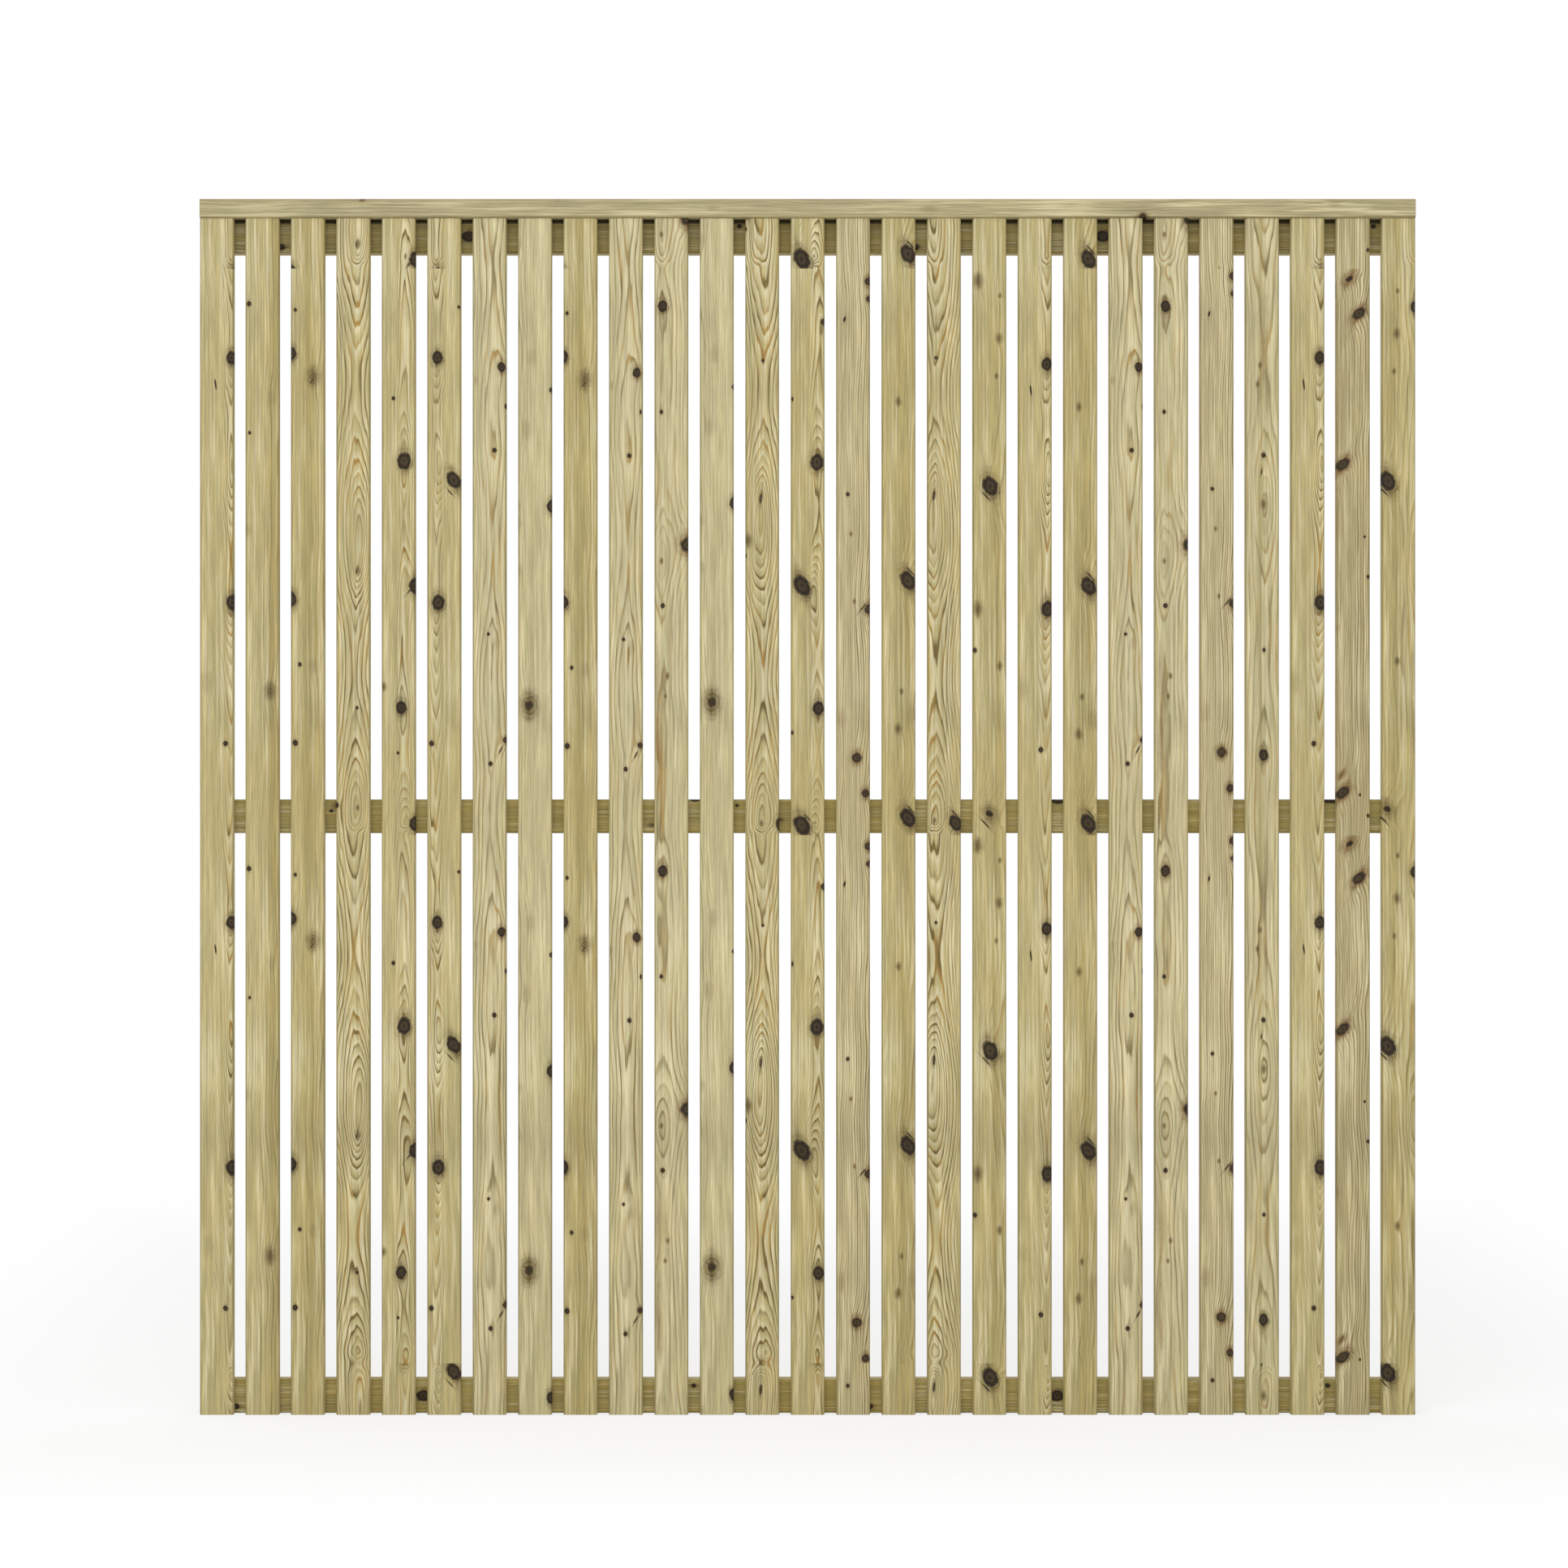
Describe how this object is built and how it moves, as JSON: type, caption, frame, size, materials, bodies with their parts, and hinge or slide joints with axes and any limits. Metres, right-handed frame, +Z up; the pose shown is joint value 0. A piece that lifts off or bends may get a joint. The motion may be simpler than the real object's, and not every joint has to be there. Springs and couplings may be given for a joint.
{
  "type": "privacy fence panel",
  "caption": "Softwood privacy fence panel: upright planed slats with open gaps, stapled from behind to three rails, under a flat capping rail.",
  "frame": {"origin": "on the ground, midway along the panel and midway through the capping rail", "axes": "+X to the right seen from the front, -Y towards the front (the slats' side), +Z up"},
  "size_m": [1.7998, 0.05, 1.8],
  "materials": {
    "slat_wood": "planed, impregnated",
    "rail_wood": "planed, impregnated",
    "cap_wood": "planed, impregnated",
    "staple_steel": "galvanised"
  },
  "bodies": {
    "root": {"slat_01": "slat_wood", "slat_02": "slat_wood", "slat_03": "slat_wood", "slat_04": "slat_wood", "slat_05": "slat_wood", "slat_06": "slat_wood", "slat_07": "slat_wood", "slat_08": "slat_wood", "slat_09": "slat_wood", "slat_10": "slat_wood", "slat_11": "slat_wood", "slat_12": "slat_wood", "slat_13": "slat_wood", "slat_14": "slat_wood", "slat_15": "slat_wood", "slat_16": "slat_wood", "slat_17": "slat_wood", "slat_18": "slat_wood", "slat_19": "slat_wood", "slat_20": "slat_wood", "slat_21": "slat_wood", "slat_22": "slat_wood", "slat_23": "slat_wood", "slat_24": "slat_wood", "slat_25": "slat_wood", "slat_26": "slat_wood", "slat_27": "slat_wood", "top_rail": "rail_wood", "middle_rail": "rail_wood", "bottom_rail": "rail_wood", "cap": "cap_wood", "top_rail_staples": "staple_steel", "middle_rail_staples": "staple_steel", "bottom_rail_staples": "staple_steel", "cap_brads": "staple_steel"}
  },
  "joints": []
}
